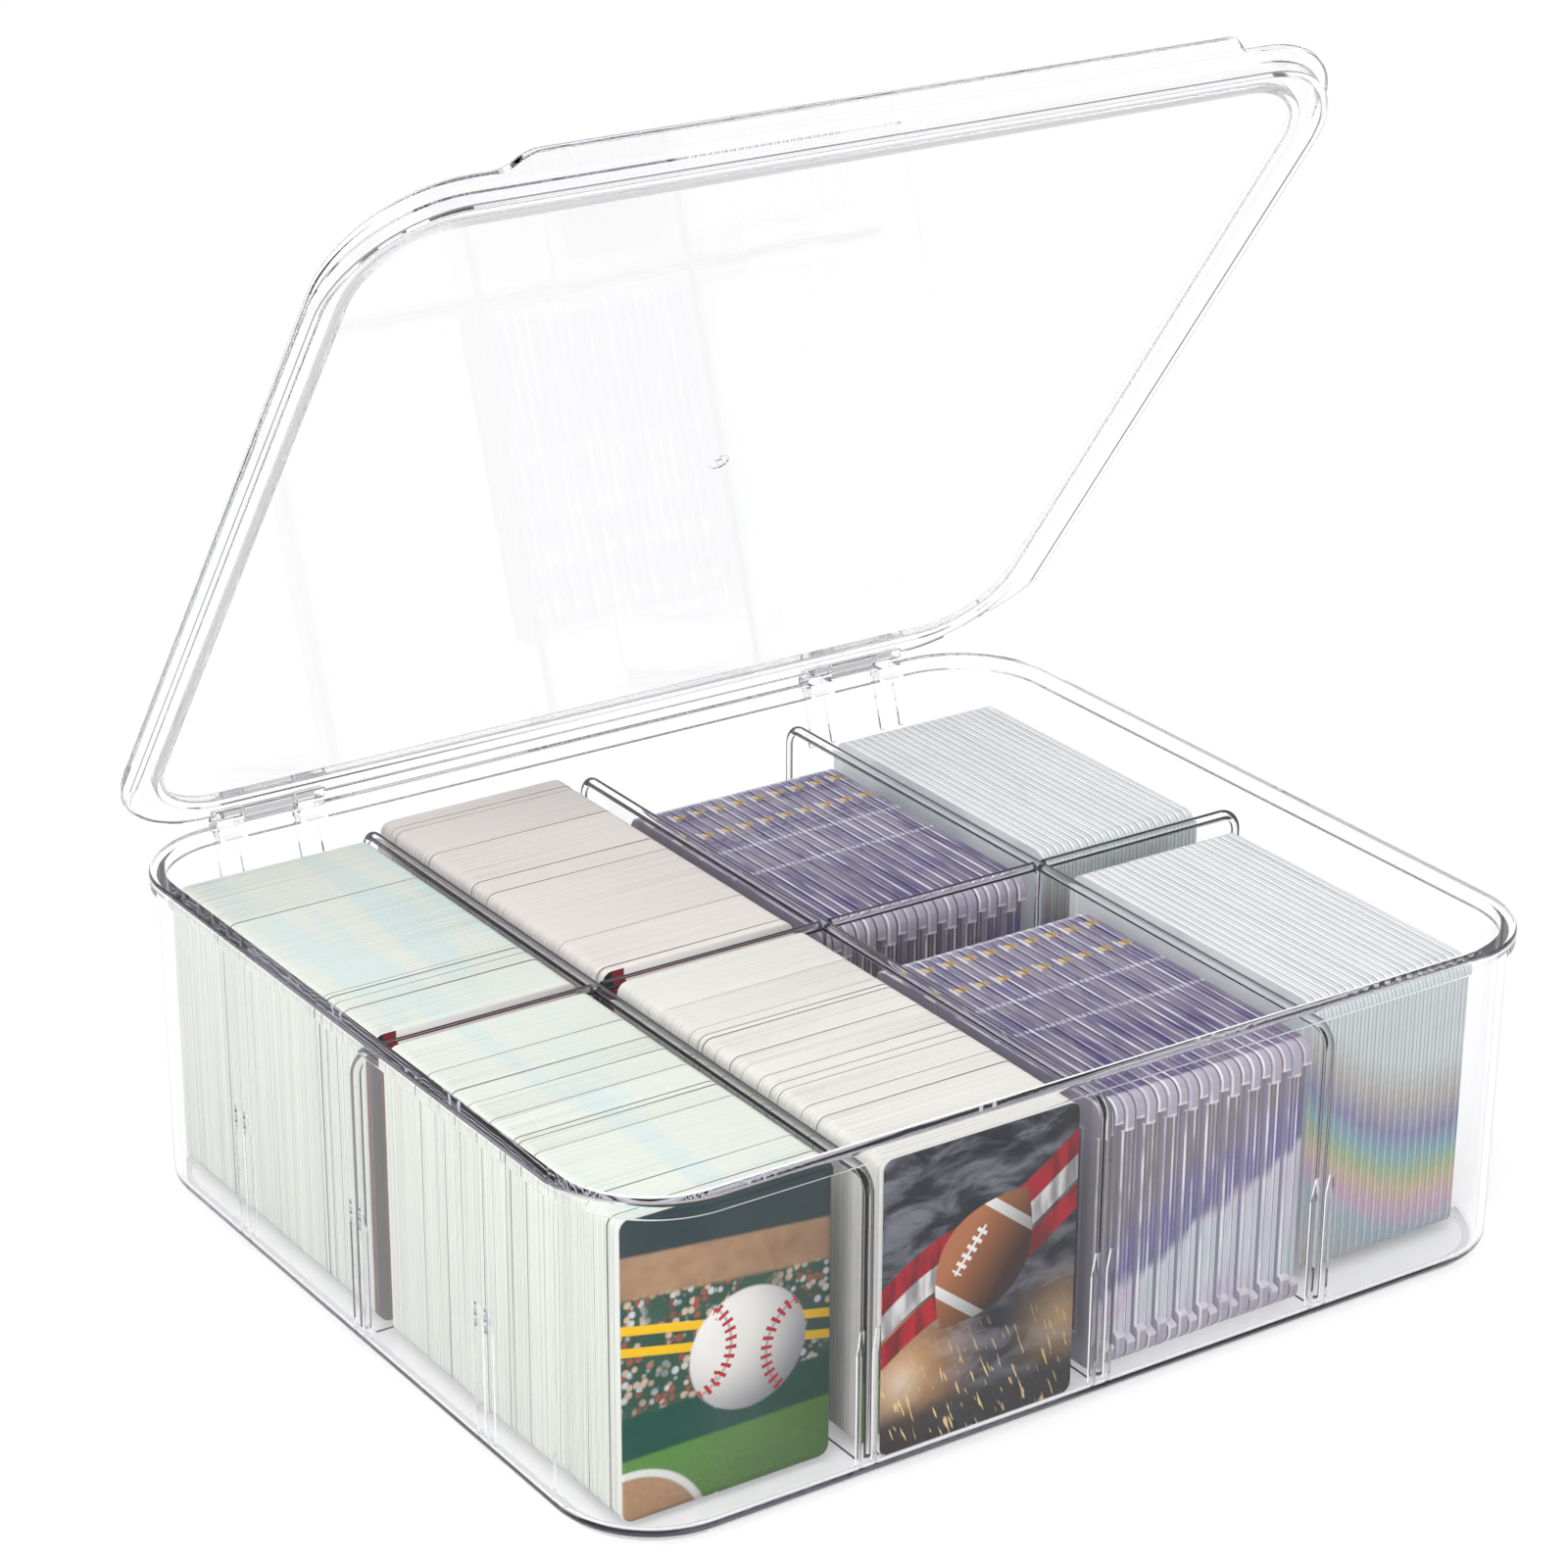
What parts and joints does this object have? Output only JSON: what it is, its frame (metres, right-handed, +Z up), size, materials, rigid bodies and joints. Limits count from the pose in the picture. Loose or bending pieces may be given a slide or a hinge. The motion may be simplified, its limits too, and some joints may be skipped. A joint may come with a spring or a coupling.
{
  "type": "trading card storage box",
  "caption": "Clear lidded box with a hinged lid and removable half-lap dividers that make compartments for stacks of trading cards, magnetic cases and rigid sleeves.",
  "frame": {"origin": "middle of the bin's plan at the underside of its foot ring", "axes": "+Z up, +Y from the front to the hinged rear, +X to the right seen from the front"},
  "size_m": [0.3234, 0.2822, 0.3411],
  "materials": {
    "clear_bin": "clear polished moulded plastic",
    "clear_lid": "clear polished moulded plastic",
    "clear_divider": "clear polished moulded plastic",
    "card_green": "pale green-white card edges",
    "card_pink": "pinkish white card edges",
    "card_cream": "cream card edges",
    "picture_left": "glossy print, green and sand colours",
    "picture_mid": "glossy print, grey and red colours",
    "case_plastic": "clear plastic with a violet tint",
    "magnet_gold": "gold-plated",
    "case_card": "glossy print, violet colours",
    "sleeve_plastic": "clear plastic with a rainbow stress sheen at its ends"
  },
  "bodies": {
    "bin": {"bin": "clear_bin"},
    "lid": {"lid": "clear_lid"},
    "cross_divider": {"cross_divider": "clear_divider"},
    "long_divider_left": {"long_divider_left": "clear_divider"},
    "long_divider_centre": {"long_divider_centre": "clear_divider"},
    "long_divider_right": {"long_divider_right": "clear_divider"},
    "card_stack_left_rear": {"card_stack_left_rear": "card_green"},
    "card_stack_left_front": {"card_stack_left_front": "card_green"},
    "card_stack_mid_rear": {"card_stack_mid_rear": "card_pink"},
    "card_stack_mid_front": {"card_stack_mid_front": "card_cream"},
    "picture_card_left": {"picture_card_left": "picture_left"},
    "picture_card_mid": {"picture_card_mid": "picture_mid"},
    "cases_rear": {"case_bases_rear": "case_plastic", "case_covers_rear": "case_plastic", "case_magnets_rear": "magnet_gold", "case_cards_rear": "case_card"},
    "sleeves_rear": {"sleeves_rear": "sleeve_plastic"},
    "cases_front": {"case_bases_front": "case_plastic", "case_covers_front": "case_plastic", "case_magnets_front": "magnet_gold", "case_cards_front": "case_card"},
    "sleeves_front": {"sleeves_front": "sleeve_plastic"}
  },
  "joints": [
    {"name": "lid_hinge", "type": "hinge", "parent": "bin", "child": "lid", "pos_m": [0, 0.1408, 0.1035], "axis": [-1, 0, 0], "range_deg": [-54, 56]},
    {"name": "cross_divider_lift", "type": "slide", "parent": "bin", "child": "cross_divider", "axis": [0, 0, 1], "range_m": [0, 0.01]},
    {"name": "long_divider_left_lift", "type": "slide", "parent": "cross_divider", "child": "long_divider_left", "axis": [0, 0, 1], "range_m": [0, 0.007]},
    {"name": "long_divider_centre_lift", "type": "slide", "parent": "cross_divider", "child": "long_divider_centre", "axis": [0, 0, 1], "range_m": [0, 0.007]},
    {"name": "long_divider_right_lift", "type": "slide", "parent": "cross_divider", "child": "long_divider_right", "axis": [0, 0, 1], "range_m": [0, 0.007]},
    {"name": "card_stack_left_rear_lift", "type": "slide", "parent": "bin", "child": "card_stack_left_rear", "axis": [0, 0, 1], "range_m": [0, 0.025]},
    {"name": "card_stack_left_front_lift", "type": "slide", "parent": "bin", "child": "card_stack_left_front", "axis": [0, 0, 1], "range_m": [0, 0.095]},
    {"name": "card_stack_mid_rear_lift", "type": "slide", "parent": "bin", "child": "card_stack_mid_rear", "axis": [0, 0, 1], "range_m": [0, 0.014]},
    {"name": "card_stack_mid_front_lift", "type": "slide", "parent": "bin", "child": "card_stack_mid_front", "axis": [0, 0, 1], "range_m": [0, 0.095]},
    {"name": "picture_card_left_lift", "type": "slide", "parent": "bin", "child": "picture_card_left", "axis": [0, 0, 1], "range_m": [0, 0.095]},
    {"name": "picture_card_mid_lift", "type": "slide", "parent": "bin", "child": "picture_card_mid", "axis": [0, 0, 1], "range_m": [0, 0.095]},
    {"name": "cases_rear_lift", "type": "slide", "parent": "bin", "child": "cases_rear", "axis": [0, 0, 1], "range_m": [0, 0.04]},
    {"name": "cases_front_lift", "type": "slide", "parent": "bin", "child": "cases_front", "axis": [0, 0, 1], "range_m": [0, 0.095]},
    {"name": "sleeves_rear_lift", "type": "slide", "parent": "bin", "child": "sleeves_rear", "axis": [0, 0, 1], "range_m": [0, 0.028]},
    {"name": "sleeves_front_lift", "type": "slide", "parent": "bin", "child": "sleeves_front", "axis": [0, 0, 1], "range_m": [0, 0.095]}
  ]
}
